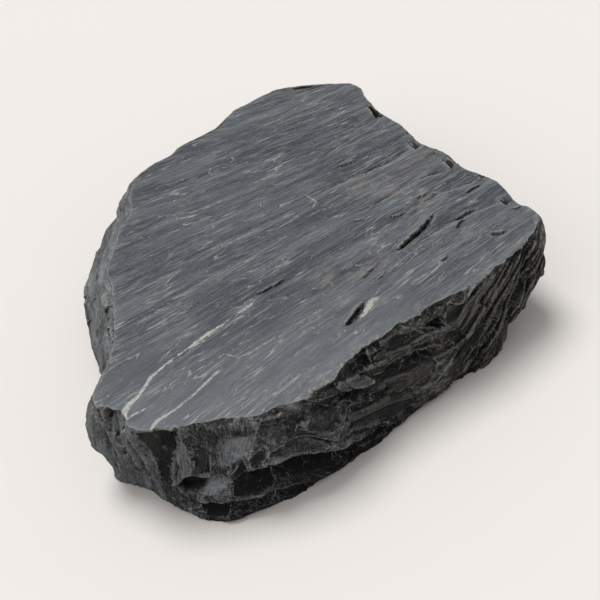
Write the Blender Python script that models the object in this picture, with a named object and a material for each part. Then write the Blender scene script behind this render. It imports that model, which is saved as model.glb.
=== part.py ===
"""A slate slab: one natural stone, split along its bedding above and below and broken off all round.

It lies flat on its foot. The origin is the middle of its box at floor level, +X runs along the
slab's length and its grain, and +Z runs up through the bedding.
"""

import math

import bmesh
import bpy
import numpy as np

MM = 0.001

# Driving dimensions, in millimetres.
THICKNESS = 88.0  # top face above the floor
BOX_MIDDLE = (2.7, 0.3)  # middle of the finished stone's box, in the outline's own x and y
COLUMNS = 180  # points round every bed
JAG_PITCH = 17.0  # usual width of one broken facet
BIG_SCAR = 40.0  # bowls wider than this are rounder, with more facets
RIM_WEAR = 0.8  # how far the worn lip is rounded over
TOP_DIP = 2.0  # depth of the long hollows in the top face, which fade out at the rim
TOP_RINGS = (0.965, 0.88, 0.74, 0.56, 0.36, 0.16)  # shares of the rim's reach

# The broken edge of the top face, clockwise from its back left corner: x and y.
RIM = (
    (-17, 116), (1, 119), (20, 118), (29, 121), (46, 119), (63, 118), (71, 120), (89, 124), (115, 122),
    (128, 121), (139, 116), (163, 97), (175, 86), (175, 74), (171, 55), (167, 40), (165, 24), (162, 5),
    (161, -5), (165, -14), (166, -24), (163, -42), (166, -53), (169, -66), (167, -76), (162, -90),
    (162, -96), (165, -101), (164, -110), (160, -115), (146, -122), (125, -126), (106, -125),
    (69, -124), (45, -121), (21, -119), (15, -116), (1, -118), (-18, -115), (-33, -120), (-49, -124),
    (-62, -121), (-78, -119), (-89, -115), (-107, -112), (-124, -97), (-146, -85), (-161, -72),
    (-169, -61), (-168, -54), (-165, -48), (-168, -41), (-173, -35), (-174, -32), (-168, -25),
    (-155, -17), (-133, -2), (-121, 13), (-103, 34), (-95, 50), (-92, 56), (-76, 69), (-59, 80),
    (-42, 90), (-34, 100), (-27, 107),
)

# The lower edge of each bed, by bearing round the stone: degrees, height, and how far it stands
# out from the rim.
CAP_FOOT = (
    (-180, 60, 10), (-174, 64, 18), (-169, 60, 3), (-155, 58, 0), (-145, 60, 1), (-134, 66, 1),
    (-123, 76, 0), (-117, 73, -1), (-108, 64, 0), (-98, 52, 2), (-76, 52, 1), (-60, 52, 3), (-45, 56, 5),
    (-36, 62, 7), (-20, 66, 6), (0, 68, 7), (20, 66, 7), (40, 62, 6), (60, 58, 5), (90, 62, 7),
    (110, 66, 15), (125, 62, 20), (140, 58, 13), (165, 58, 12),
)
BELLY = (
    (-180, 32, 10), (-173, 44, 8), (-168, 32, 1.5), (-160, 34, -6), (-152, 34, -2), (-143, 34, 4),
    (-138, 40, 8), (-134, 45, 10), (-127, 45, 11), (-121, 39, 11), (-114, 33, 9), (-107, 24, 10),
    (-99, 19, 13), (-87, 15, 12), (-80, 12, 10), (-70, 13, 8), (-52, 18, 7), (-45, 30, 4.5),
    (-37, 38, 4), (-30, 36, 4.5), (-25, 34, 6), (0, 32, 7), (30, 30, 7), (60, 34, 10), (90, 34, 14),
    (105, 36, 27), (118, 34, 34), (128, 32, 30), (140, 27, 21), (165, 26, 14),
)
LOW_BED = (
    (-180, 14, 4), (-168, 14, -9), (-161, 13, -16), (-155, 12, -10), (-150, 12, 0), (-146, 12, 10),
    (-141, 14, 15), (-135, 12, 9), (-128, 10, 7), (-119, 8, 8), (-112, 8, 6), (-105, 8, 9), (-96, 8, 15),
    (-87, 6, 11), (-76, 6, 7), (-65, 6, 7), (-56, 5, 10), (-52, 6, 9), (-46, 10, -1), (-40, 13, -10),
    (-33, 14, -13), (-25, 12, -5), (0, 12, 5), (60, 12, 7), (90, 12, 10), (108, 13, 20), (120, 12, 26),
    (135, 12, 18), (165, 13, 10),
)

# How far the stone is hollowed back under the cap bed and under the belly, by bearing.
HOLLOWS = (
    (-150, 1.0, 2.0), (-141, 1.0, 4.0), (-135, 1.0, 10.0), (-120, 1.5, 10.0), (-112, 3.5, 8.0),
    (-102, 5.0, 6.0), (-85, 4.5, 3.0), (-68, 1.5, 1.5), (-45, 1.0, 2.0), (-35, 1.5, 4.0), (0, 2.5, 3.0),
    (60, 3.0, 2.5), (120, 1.5, 3.0), (165, 2.0, 2.0),
)

# Flake scars, the shallow bowls where chips were struck off the side. Each one's bearing and height
# on the wall, the way it faces and leans back in degrees, the radius of its bowl, and its depth.
SCARS = (
    ("end_scoop", -155, 62, -128, 0, 34, 7.0),
    ("end_low_scoop", -149, 28, -128, 26, 16, 3.5),
    ("end_face", -147, 52, -126, 4, 90, 3.0),
    ("lobe_scar", -168, 34, -160, -25, 60, 3.0),
    ("front_left_scar", -123, 46, -98, 6, 80, 3.0),
    ("front_block_scar", -106, 76, -78, 14, 50, 2.5),
    ("front_plane", -84, 32, -86, 11, 110, 2.5),
    ("front_hollow", -71, 75, -92, 14, 24, 3.0),
    ("front_right_plane", -57, 58, -92, 9, 110, 3.0),
    ("front_low_scar", -62, 22, -92, -8, 80, 2.5),
    ("corner_scar", -36, 62, -44, 4, 60, 3.0),
    ("corner_low_scar", -39, 26, -52, -34, 60, 3.0),
    ("right_low_scar", -12, 46, -8, -8, 90, 3.0),
    ("right_top_scar", 10, 72, 4, 20, 90, 3.5),
    ("right_back_scar", 24, 36, 14, 0, 100, 3.0),
    ("back_corner_scar", 38, 52, 46, 8, 100, 4.0),
    ("back_scar", 60, 32, 88, -12, 100, 3.0),
    ("back_left_scar", 84, 66, 96, 16, 90, 3.0),
    ("left_back_scar", 120, 60, 130, 24, 110, 4.0),
    ("left_scar", 150, 44, 142, 16, 100, 3.5),
    ("left_low_scar", 174, 40, 146, 8, 80, 3.0),
)


def clear_scene():
    for old in list(bpy.data.objects):
        bpy.data.objects.remove(old, do_unlink=True)


def slate_material():
    """Dark blue-grey slate with the dull gleam of a split face."""
    material = bpy.data.materials.new("slate")
    material.use_nodes = True
    shader = material.node_tree.nodes["Principled BSDF"]
    shader.inputs["Base Color"].default_value = (0.112, 0.118, 0.127, 1.0)
    shader.inputs["Roughness"].default_value = 0.62
    shader.inputs["Metallic"].default_value = 0.0
    return material


def points_round(outline, count):
    """The outline walked once at an even pace."""
    corners = np.array(outline + outline[:1], float)
    steps = np.hypot(*np.diff(corners, axis=0).T)
    walked = np.concatenate(([0.0], np.cumsum(steps)))
    marks = np.arange(count) * walked[-1] / count
    return np.column_stack([np.interp(marks, walked, corners[:, axis]) for axis in (0, 1)])


def softened(outline, passes):
    """The same outline with its small notches drawn smooth."""
    for _ in range(passes):
        outline = 0.25 * np.roll(outline, 1, axis=0) + 0.5 * outline + 0.25 * np.roll(outline, -1, axis=0)
    return outline


def read_stations(stations, bearings, column):
    """One column of a station list, at every bearing round the stone."""
    table = np.array(sorted(stations), float)
    return np.interp(bearings, table[:, 0], table[:, column], period=360.0)


def jags(outline, size, seed):
    """In and out steps of the flat facets that a bed breaks into."""
    rng = np.random.default_rng(seed)
    length = np.hypot(*(np.roll(outline, -1, axis=0) - outline).T).sum()
    count = int(length / JAG_PITCH)
    places = np.sort(rng.uniform(0.0, len(outline), count))
    return np.interp(np.arange(len(outline)), places, rng.uniform(-size, size, count), period=len(outline))


def top_height(points, share):
    """Height of the top face, whose long shallow hollows run with the grain and fade at the rim."""
    across = points[:, 1] + 0.09 * points[:, 0]
    hollows = 0.5 - 0.5 * np.cos(across / 21.0 + 0.9 * np.sin(points[:, 0] / 63.0))
    depth = TOP_DIP * (1.0 - share**6) * (0.6 + 0.4 * np.sin(points[:, 0] / 47.0 + 1.0))
    return THICKNESS - depth * hollows


def bed_edge(rim, bearings, stations, passes, inset, lift, jag, seed):
    """One ring of the side wall, as x, y and z."""
    outline = softened(rim, passes)
    reach = read_stations(stations, bearings, 2) - inset + jags(rim, jag, seed)
    outward = np.column_stack([np.cos(np.radians(bearings)), np.sin(np.radians(bearings))])
    return np.column_stack([outline + outward * reach[:, None], read_stations(stations, bearings, 1) + lift])


def between(upper, lower, share, bulge, bearings):
    """A ring part of the way down from one ring to the next, pushed out a little."""
    ring = (1.0 - share) * upper + share * lower
    ring[:, 0] += bulge * np.cos(np.radians(bearings))
    ring[:, 1] += bulge * np.sin(np.radians(bearings))
    return ring


def wall_rings():
    """The side wall from its foot to the rim."""
    rim = points_round(RIM, COLUMNS)
    bearings = np.degrees(np.arctan2(rim[:, 1], rim[:, 0]))
    cap_hollow = read_stations(HOLLOWS, bearings, 1)
    belly_hollow = read_stations(HOLLOWS, bearings, 2)
    foot = bed_edge(rim, bearings, LOW_BED, 7, 1.0, 0.0, 1.0, 12)
    foot[:, 2] = 0.0
    low_bed = bed_edge(rim, bearings, LOW_BED, 5, 0.0, 0.0, 2.4, 11)
    under_belly = bed_edge(rim, bearings, BELLY, 5, belly_hollow, -2.5, 2.0, 22)
    belly = bed_edge(rim, bearings, BELLY, 4, 0.0, 0.0, 2.6, 21)
    under_cap = bed_edge(rim, bearings, CAP_FOOT, 3, cap_hollow, -2.0, 2.0, 32)
    cap_foot = bed_edge(rim, bearings, CAP_FOOT, 2, 0.0, 0.0, 2.2, 31)
    lip = np.column_stack([rim, np.full(len(rim), THICKNESS)])
    shoulder = lip - [0.0, 0.0, 2.0 * RIM_WEAR]
    worn_lip = lip * [1.0 - RIM_WEAR / 150.0, 1.0 - RIM_WEAR / 120.0, 1.0]
    return rim, [
        foot,
        low_bed,
        between(under_belly, low_bed, 0.35, -0.5, bearings),
        under_belly,
        belly,
        between(under_cap, belly, 0.66, 1.2, bearings),
        between(under_cap, belly, 0.3, 0.4, bearings),
        under_cap,
        cap_foot,
        between(shoulder, cap_foot, 0.5, 0.8, bearings),
        shoulder,
        worn_lip,
    ]


def top_rings(rim):
    """The top face's rings, from near the rim to near the middle."""
    rings = []
    for share in TOP_RINGS:
        outline = softened(rim, round(14 * (1.0 - share))) * share
        rings.append(np.column_stack([outline, top_height(outline, share)]))
    return rings


def raise_ring(shape, loop, ring):
    """Extrude the open top loop and set the new one on the next ring's points."""
    edges = [shape.edges.get(pair) for pair in zip(loop, loop[1:] + loop[:1])]
    made = set(bmesh.ops.extrude_edge_only(shape, edges=edges)["geom"])
    raised = []
    for vert, point in zip(loop, ring):
        above = next(edge.other_vert(vert) for edge in vert.link_edges if edge.other_vert(vert) in made)
        above.co = point * MM
        raised.append(above)
    return raised


def build_slab(rim, rings, material):
    """Raise the wall from the foot, draw it in over the top, and close both ends."""
    shape = bmesh.new()
    loop = [shape.verts.new(point * MM) for point in rings[0]]
    shape.faces.new(loop)
    for ring in rings[1:] + top_rings(rim):
        loop = raise_ring(shape, loop, ring)
    crown = shape.faces.new(loop)
    bmesh.ops.poke(shape, faces=[crown])
    bmesh.ops.triangulate(shape, faces=shape.faces[:])
    bmesh.ops.recalc_face_normals(shape, faces=shape.faces[:])
    mesh = bpy.data.meshes.new("slate_slab")
    shape.to_mesh(mesh)
    shape.free()
    mesh.materials.append(material)
    slab = bpy.data.objects.new("slate_slab", mesh)
    slab.location = (-BOX_MIDDLE[0] * MM, -BOX_MIDDLE[1] * MM, 0.0)
    bpy.context.scene.collection.objects.link(slab)
    return slab


def wall_point(rings, bearing, height):
    """The place on the side wall at a bearing and a height."""
    reaches, heights = [], []
    for ring in rings:
        bearings = np.degrees(np.arctan2(ring[:, 1], ring[:, 0]))
        order = np.argsort(bearings)
        reach = np.hypot(ring[:, 0], ring[:, 1])
        reaches.append(np.interp(bearing, bearings[order], reach[order], period=360.0))
        heights.append(np.interp(bearing, bearings[order], ring[order, 2], period=360.0))
    reach = np.interp(height, heights, reaches)
    turn = math.radians(bearing)
    return np.array([reach * math.cos(turn), reach * math.sin(turn), height])


def strike_off(slab, rings, name, bearing, height, facing, lean, radius, depth):
    """Take one flake scar out of the wall with a hidden ball."""
    turn, rise = math.radians(facing), math.radians(lean)
    outward = np.array([math.cos(rise) * math.cos(turn), math.cos(rise) * math.sin(turn), math.sin(rise)])
    centre = wall_point(rings, bearing, height) + outward * (radius - depth)
    shape = bmesh.new()
    bmesh.ops.create_icosphere(shape, subdivisions=4 if radius > BIG_SCAR else 3, radius=radius * MM)
    mesh = bpy.data.meshes.new(name)
    shape.to_mesh(mesh)
    shape.free()
    ball = bpy.data.objects.new(name, mesh)
    ball.location = centre * MM
    ball.parent = slab
    ball.hide_render = True
    ball.display_type = "WIRE"
    bpy.context.scene.collection.objects.link(ball)
    cut = slab.modifiers.new(name, "BOOLEAN")
    cut.operation = "DIFFERENCE"
    cut.solver = "EXACT"
    cut.object = ball


def main():
    clear_scene()
    rim, rings = wall_rings()
    slab = build_slab(rim, rings, slate_material())
    for scar in SCARS:
        strike_off(slab, rings, *scar)


main()
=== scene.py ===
"""A rough slate slab resting on its flat foot: its fine broken surface, its finish and a plain studio."""
import itertools
import math

import bmesh
import bpy
import numpy as np
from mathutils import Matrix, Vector
from mathutils.bvhtree import BVHTree


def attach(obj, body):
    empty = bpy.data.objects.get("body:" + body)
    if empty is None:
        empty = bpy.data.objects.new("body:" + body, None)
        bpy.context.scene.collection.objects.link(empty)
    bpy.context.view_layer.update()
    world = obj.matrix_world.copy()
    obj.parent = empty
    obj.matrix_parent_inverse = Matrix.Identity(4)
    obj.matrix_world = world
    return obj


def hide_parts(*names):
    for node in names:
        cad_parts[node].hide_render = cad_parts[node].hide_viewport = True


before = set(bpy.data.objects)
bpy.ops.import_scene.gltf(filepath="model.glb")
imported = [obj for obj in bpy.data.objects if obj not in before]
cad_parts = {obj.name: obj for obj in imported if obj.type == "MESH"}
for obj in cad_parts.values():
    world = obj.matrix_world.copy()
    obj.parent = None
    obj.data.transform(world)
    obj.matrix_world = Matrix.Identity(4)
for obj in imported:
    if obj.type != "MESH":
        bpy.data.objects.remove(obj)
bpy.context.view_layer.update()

# Sizes in this script are millimetres, in the slab's own frame: X along the slab, Y across it, Z up.
# The mesh is in metres, so it is multiplied by METRE on the way in and divided by it on the way out.
METRE = 1000.0
SKIN = 0.95                  # spacing of the fine skin
WELD = 0.01                  # corners closer than this are one corner
MOST_TRIANGLES = 192000      # what the finished stone may hold
FOOT_RELIEF = 0.6            # the foot is flat up to this height
RIM_HEIGHT = 87.0            # the walls are worked up to this height, just under the rim
TOP_FROM = 70.0              # the whole top lies above this height
SHELTER_REACH = 22.0         # stone nearer than this shelters a point
SHELTER_RAYS = 14            # directions in which each point looks for it
SHARP_ANGLE = 16.0           # faces that meet at more than this many degrees keep a sharp edge
SEED = 20

# The grain runs along the slab and turns a little across it: its slope in plan is
# GRAIN_SLOPE + GRAIN_TURN_X * x + GRAIN_TURN_Y * y.
GRAIN_SLOPE, GRAIN_TURN_X, GRAIN_TURN_Y = -0.10, -0.0003, -0.0014

# Places on the two broken walls are given as (run, height): the run is measured level along RUN, which
# goes from the left end of the slab round its near corner to the right end.
RUN = np.array((0.72, -0.69))
TOWARD = np.array((-0.69, -0.72))     # square to RUN and out of the stone at the near corner


# ---------------------------------------------------------------- noise and mesh helpers

def lattice_noise(points, seed):
    """Smooth noise of about -1 to 1 on a unit lattice, one value for each row of points."""
    draw = np.random.default_rng(seed)
    slopes = draw.normal(size=(256, 3))
    slopes /= np.linalg.norm(slopes, axis=1)[:, None]
    shuffle = draw.permutation(256)
    cell = np.floor(points).astype(np.int64)
    part = points - cell
    ease = part * part * part * (part * (part * 6.0 - 15.0) + 10.0)
    total = np.zeros(len(points))
    for corner in itertools.product((0, 1), repeat=3):
        slope = slopes[cell_numbers(cell + corner, shuffle)]
        share = np.prod(np.where(corner, ease, 1.0 - ease), axis=1)
        total += share * np.einsum("ij,ij->i", slope, part - corner)
    return 1.6 * total


def cell_numbers(cells, shuffle):
    """A chance number from 0 to 255 for each cell of a lattice, the same each time it is asked."""
    x, y, z = (cells & 255).T
    return shuffle[(shuffle[(shuffle[x] + y) & 255] + z) & 255]


def ramp(value, start, end):
    """0 at start, 1 at end, eased between them."""
    part = np.clip((value - start) / (end - start), 0.0, 1.0)
    return part * part * (3.0 - 2.0 * part)


class Skin:
    """The stone's skin while it is worked: its points in millimetres, its quads and its normals.

    Each point also has a tone (below 0 darker, above 0 paler), its calm (1 on a plain face that stays
    smooth), its crevice (1 deep in a slit) and its seam (distance from the edge of a face or a bed).
    """

    def __init__(self, mesh):
        self.points = np.empty((len(mesh.vertices), 3), np.float32)
        mesh.vertices.foreach_get("co", self.points.ravel())
        self.points = self.points.astype(float) * METRE
        edges = np.empty((len(mesh.edges), 2), np.int32)
        mesh.edges.foreach_get("vertices", edges.ravel())
        self.starts = np.concatenate([edges[:, 0], edges[:, 1]])
        self.ends = np.concatenate([edges[:, 1], edges[:, 0]])
        self.links = np.bincount(self.starts, minlength=len(self.points))
        corners = np.empty(len(mesh.loops), np.int32)
        mesh.loops.foreach_get("vertex_index", corners)
        self.quads = corners.reshape(-1, 4)
        count = len(self.points)
        self.tone, self.calm, self.crevice = (np.zeros(count) for _ in range(3))
        self.seam = np.full(count, 9.0)

    def blurred(self, values, rounds):
        """Values, one row for each point, averaged with their neighbours' over and over."""
        for _ in range(rounds):
            columns = [np.bincount(self.starts, values[self.ends, k], len(values))
                       for k in range(values.shape[1])]
            values = 0.5 * values + 0.5 * np.stack(columns, axis=1) / self.links[:, None]
        return values

    def normals(self, rounds=0):
        """Outward directions, blurred over a few rounds of neighbours where rounds is given."""
        a, b, c, d = (self.points[self.quads[:, k]] for k in range(4))
        faces = np.cross(c - a, d - b)
        total = np.stack([
            sum(np.bincount(self.quads[:, k], faces[:, axis], len(self.points)) for k in range(4))
            for axis in range(3)], axis=1)
        total /= np.linalg.norm(total, axis=1)[:, None] + 1e-12
        if rounds:
            total = self.blurred(total, rounds)
            total /= np.linalg.norm(total, axis=1)[:, None] + 1e-12
        return total


def across_grain(points):
    """How far a point lies across the grain; lines along the grain keep one value of it."""
    x, y = points[:, 0], points[:, 1]
    return y - (GRAIN_SLOPE + GRAIN_TURN_Y * y) * x - 0.5 * GRAIN_TURN_X * x * x


def steep(normals, start, end):
    """How far each point belongs to a wall and not to the top or the foot, 0 to 1."""
    return ramp(1 - np.abs(normals[:, 2]), start, end)


def on_front(facing):
    """Which points face the near corner, on one of the two broken walls."""
    return facing[:, :2] @ TOWARD > 0.1


def splits_upright(points, facing):
    """How far the rock splits upright, as it does at the left end, 0 to 1."""
    return ramp(-facing[:, 0], 0.3, 0.6) * ramp(points[:, 1], 60, 30)


def fine_copy():
    """A new object: the slab's solid with its loose triangles merged, under a fine even skin."""
    shape = bmesh.new()
    shape.from_mesh(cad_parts["slate_slab"].data)
    bmesh.ops.remove_doubles(shape, verts=shape.verts, dist=WELD / METRE)
    mesh = bpy.data.meshes.new("slate stone")
    shape.to_mesh(mesh)
    shape.free()
    stone = bpy.data.objects.new("slate_stone", mesh)
    bpy.context.scene.collection.objects.link(stone)
    skin = stone.modifiers.new("skin", "REMESH")
    skin.mode = "VOXEL"
    skin.voxel_size = SKIN / METRE
    bake_modifiers(stone)
    return stone


def bake_modifiers(stone):
    """Make what the modifiers show the object's own mesh."""
    seen = stone.evaluated_get(bpy.context.evaluated_depsgraph_get())
    mesh = bpy.data.meshes.new_from_object(seen)
    stone.modifiers.clear()
    old = stone.data
    stone.data = mesh
    bpy.data.meshes.remove(old)
    mesh.name = "slate stone"


# ---------------------------------------------------------------- working the stone

# Plain faces that flakes left on the broken walls: name, outline as (run, height), turn and lean of the
# face from the wall's own direction in degrees (turn to the right of someone facing the wall, lean
# upwards), depth under the old wall, width over which its border rounds off, and its tone, from about -1
# for black through 0 for the walls' own grey to 1 for the pale grey of the top.
# The black tones of the end scoop, the hollow and the pit, and the dark tones of the low bed's plane and
# corner, are painted shade.
FACETS = (
    ("end scoop", ((-78, 84), (-65, 86), (-51, 85), (-52, 68), (-55, 51), (-58, 24), (-65, 23), (-67, 50),
                   (-72, 67)), 16, 7, 2.5, 3.0, -1.1),
    ("end plane", ((-51, 81), (-48, 66), (-44, 56), (-44, 39), (-50, 31), (-55, 23), (-58, 24), (-55, 51),
                   (-52, 68)), -18, 6, 0.0, 1.2, 0.95),
    ("blue facet", ((-43, 62), (-32, 64), (-32, 54), (-33, 37), (-43, 33), (-43, 55)), 6, -4, 1.5, 1.2, -0.1),
    ("hollow", ((-55, 22), (-49, 30), (-40, 31), (-30, 37), (-33, 27), (-40, 21), (-50, 18)),
     8, -26, 5.5, 2.5, -1.0),
    ("low plane", ((-30, 36), (-23, 37), (-21, 22), (-30, 19), (-39, 21), (-37, 25)), -12, 14, 1.0, 2.5, 1.0),
    ("streaked face", ((-27, 67), (-19, 71), (-4, 72), (-3, 61), (-12, 52), (-23, 41), (-27, 47)),
     -14, 10, 1.0, 3.0, 1.15),
    ("dark block", ((-10, 55), (-3, 61), (2, 59), (3, 53), (-8, 45)), 16, -4, -1.0, 1.0, -0.8),
    ("dark block below", ((-21, 39), (-12, 51), (-9, 43), (-10, 34), (-17, 32)), 20, -2, 0.0, 1.0, -0.6),
    ("foot corner", ((-39, 16), (-33, 16), (-23, 18), (-21, 13), (-22, 7), (-34, 3), (-40, 8)),
     4, 0, 0.5, 1.2, -0.8),
    ("left plane", ((-98, 86), (-88, 87), (-85, 80), (-89, 67), (-97, 64)), -6, 4, 0.8, 1.0, 0.5),
    ("left slot", ((-105, 84), (-101, 85), (-99, 75), (-103, 74)), 0, -16, 3.5, 1.2, -1.0),
    ("lens", ((4, 53), (15, 57), (24, 57), (34, 51), (44, 43), (46, 37), (31, 40), (18, 46)),
     -2, 16, -1.0, 2.0, -0.25),
    ("blue band", ((28, 89), (45, 89), (51, 74), (62, 57), (46, 69), (37, 77)), 4, -10, 1.5, 1.0, -0.7),
    ("boss", ((47, 89), (54, 89), (58, 78), (69, 64), (72, 57), (63, 59), (53, 73)), -4, 6, -1.8, 1.5, 0.0),
    ("blue hollow", ((57, 89), (66, 89), (72, 72), (67, 70)), 8, -14, 2.0, 1.0, -0.7),
    ("blue hollow beside it", ((68, 89), (75, 89), (79, 79), (75, 78)), 6, -14, 1.6, 1.0, -0.6),
    ("plane under", ((81, 46), (95, 46), (113, 41), (119, 31), (116, 21), (97, 23), (80, 35)),
     0, -2, 0.0, 1.2, 0.1),
    ("right plane", ((124, 83), (140, 74), (152, 57), (149, 46), (137, 46), (126, 58), (121, 75)),
     -3, 4, 0.0, 1.2, 0.05),
    ("pit", ((106, 78), (117, 73), (124, 63), (119, 62), (108, 70)), 10, -20, 3.0, 1.2, -0.9),
    ("left front plane", ((22, 68), (37, 71), (56, 51), (53, 45), (40, 51), (28, 59)), 8, -2, 0.8, 1.2, -0.2),
    ("right front plane", ((58, 47), (80, 34), (99, 21), (104, 11), (87, 14), (68, 28), (56, 35)),
     -5, 6, 0.0, 1.2, 0.15),
    ("upper right plane", ((84, 80), (104, 80), (103, 66), (92, 60), (80, 64)), -6, 4, 0.5, 1.2, 0.1),
    ("gap plane", ((137, 40), (150, 42), (158, 38), (146, 24), (128, 14), (121, 20)), 4, 0, 0.5, 1.2, -0.2),
    ("low bed plane", ((8, 33), (26, 30), (44, 24), (50, 12), (30, 16), (10, 22)), 2, 4, 0.0, 1.5, -0.7),
    ("low bed corner", ((-21, 32), (-12, 35), (-3, 41), (6, 40), (8, 21), (-5, 20), (-14, 21), (-21, 20)),
     8, 2, 1.5, 1.5, -0.8),
)

# Edges of beds that jut over the rock below or to the right: name, route along the wall as
# (run, height), how deep the rock goes in under the edge, how far it takes to come back out, how much
# painted shade darkens the rock there, and how far that painted shade reaches.
LEDGES = (
    ("middle bed", ((-12, 38), (-3, 46), (5, 48), (18, 43), (31, 38), (44, 34), (54, 28), (65, 20), (75, 16),
                    (86, 10), (98, 2)), 6.0, 9.0, 2.1, 60.0),
    ("low bed", ((-40, 16), (-33, 16), (-24, 18), (-14, 19), (-5, 18), (5, 18), (15, 14), (24, 11), (34, 8),
                 (48, 2)), 5.0, 6.0, 2.0, 18.0),
    ("upper bed", ((34, 81), (44, 74), (53, 67), (65, 57), (72, 60), (81, 57), (91, 53), (100, 50), (113, 46),
                   (121, 42)), 4.5, 7.0, 1.4, 9.0),
    ("facet edge", ((2, 52), (15, 58), (24, 58), (34, 52), (44, 44), (52, 36)), 1.6, 4.0, -0.2, 3.0),
    ("gap", ((122, 3), (133, 6), (140, 9), (149, 19), (153, 29), (161, 35), (166, 43), (171, 52), (176, 58),
             (178, 69), (185, 80)), 5.0, 5.0, 1.5, 9.0),
    ("first layer", ((140, 2), (150, 8), (158, 18), (166, 30), (174, 42)), 1.8, 3.0, 0.9, 4.0),
    ("second layer", ((146, 2), (156, 9), (164, 20), (172, 31), (181, 45), (184, 58)), 1.6, 3.0, 0.9, 4.0),
    ("end overhang", ((-57, 24), (-50, 31), (-44, 33), (-38, 32), (-29, 37)), 2.5, 5.0, 0.6, 6.0),
    ("first flute", ((-84, 86), (-80, 70), (-74, 50), (-70, 32), (-67, 20)), 2.2, 3.0, 0.8, 4.0),
    ("second flute", ((-92, 84), (-88, 68), (-82, 48), (-77, 30), (-72, 16)), 2.0, 3.0, 0.7, 4.0),
    ("third flute", ((-97, 64), (-93, 48), (-88, 34), (-81, 20)), 1.6, 3.0, 0.6, 4.0),
)

# Where thin layers have lifted off the top: name, route of the edge as (x, y), drop on its right-hand
# side, and how far the top takes to come back up. The last rows are low waves, and notches in the rim.
LIFTS = (
    ("long lift", ((60, -67), (70, -64.5), (83, -63), (94, -62), (105, -60), (115, -57)), 7.0, 2.0),
    ("long lift foot", ((10, -62), (30, -67), (46, -67), (59, -66)), 0.9, 4.0),
    ("left lift", ((-41, -31), (-31, -32), (-20, -33), (-9, -33), (6, -33)), 3.4, 1.0),
    ("far lift", ((96, 26), (107, 23), (117, 20)), 3.0, 0.9),
    ("short lift", ((60, -24), (74, -31)), 2.2, 1.0),
    ("rim lift", ((82, -39), (96, -44)), 2.6, 1.2),
    ("back lift", ((109, -38), (126, -41)), 2.8, 1.1),
    ("back lift beside it", ((113, -44), (126, -48)), 2.2, 1.0),
    ("back lift end", ((140, -59), (149, -59), (160, -61)), 3.6, 1.2),
    ("right lift", ((114, -72), (125, -72), (138, -75)), 3.6, 1.4),
    ("right lift foot", ((107, -80), (115, -77), (125, -76)), 3.6, 1.4),
    ("pit edge", ((121, -99), (126, -103), (134, -107)), 4.0, 1.6),
    ("corner lift", ((151, -94), (160, -97)), 2.6, 1.5),
    ("near lift", ((76, -94), (86, -94)), 2.4, 1.3),
    ("pale hollow", ((-16, -93), (-5, -89.5), (5, -86.5), (17, -84)), 5.5, 3.0),
    ("left end lift", ((9, -27), (20, -32)), 1.6, 1.0),
    ("slit", ((22, -69), (42, -66), (54, -65)), 2.4, 1.1),
    ("lower slit", ((26, -77), (39, -76), (48, -74)), 2.2, 1.1),
    ("far rim notch", ((159, 46), (163, 61)), 5.0, 4.0),
    ("second rim notch", ((151, -3), (152, 10)), 5.0, 4.0),
    ("third rim notch", ((154, -35), (157, -20)), 5.0, 4.0),
    ("last rim notch", ((152, -89), (153, -78)), 5.0, 4.0),
    ("first wave", ((160, 0), (129, 3), (104, 9), (76, 12), (47, 12)), 4.0, 9.0),
    ("second wave", ((160, -37), (128, -27), (95, -24), (65, -19)), 3.6, 9.0),
    ("third wave", ((164, -58), (127, -47), (98, -45), (70, -44)), 3.0, 8.0),
    ("fourth wave", ((160, -85), (129, -77), (101, -73), (75, -72)), 2.6, 7.0),
    ("far wave", ((166, 44), (140, 40), (110, 42), (80, 40)), 3.0, 10.0),
)

# Quartz veins and pale marks in the top: how plain they show, and their routes as (x, y, half width).
VEINS = (
    (0.95, ((-175, -57, 1.6), (-168, -52, 2.2), (-160, -48, 1.3), (-151, -46.5, 1.0), (-143, -43, 0.9),
            (-135, -39.5, 1.1), (-124, -38, 0.7), (-113, -37, 0.5), (-103, -37, 0.8), (-92, -36.5, 1.0),
            (-83, -36, 1.1), (-73, -36.5, 0.7), (-64, -36, 0.3))),
    (0.80, ((-61, -37, 0.3), (-56, -36, 0.7), (-46, -36, 0.8), (-38, -34, 0.3))),
    (0.60, ((-106, -39.5, 0.3), (-92, -38.5, 0.4), (-80, -38.3, 0.4), (-70, -38, 0.2))),
    (0.80, ((-163, -73, 1.2), (-157, -70.5, 1.3), (-142, -71, 0.6), (-127, -70, 0.5), (-115, -68, 0.8),
            (-104, -66, 0.8), (-97, -65, 0.2))),
    (0.80, ((-169, -56, 0.7), (-160, -57, 0.6), (-150, -58.5, 0.2))),
    (0.55, ((-97, -58, 0.2), (-88, -57, 0.4), (-85, -63, 0.4), (-78, -67.5, 0.6), (-65, -68, 0.4),
            (-54, -69, 0.2))),
    (0.45, ((-52, -70, 0.2), (-41, -69, 0.4), (-28, -70, 0.4), (-12, -71, 0.2))),
    (0.45, ((-14, 61, 0.3), (0, 57, 0.6), (14, 55, 0.2))),
    (0.45, ((42, 54, 0.3), (59, 51, 0.5))),
    (0.50, ((58, 19, 0.3), (59, 13, 0.8), (58, 8, 0.8), (52, 5, 0.3))),
    (0.40, ((30, 5, 0.4), (40, 5, 0.3))),
    (0.45, ((134, 67, 0.3), (143, 66, 0.7), (153, 67, 0.2))),
    (0.45, ((-47, -32, 0.5), (-39, -33, 0.3))),
    (0.40, ((-173, -33, 0.5), (-162, -33, 0.4))),
    (0.45, ((-30, 22, 0.2), (-12, 17, 0.5), (6, 15, 0.2))),
    (0.40, ((-96, 30, 0.2), (-74, 22, 0.4), (-58, 20, 0.2))),
)

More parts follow.
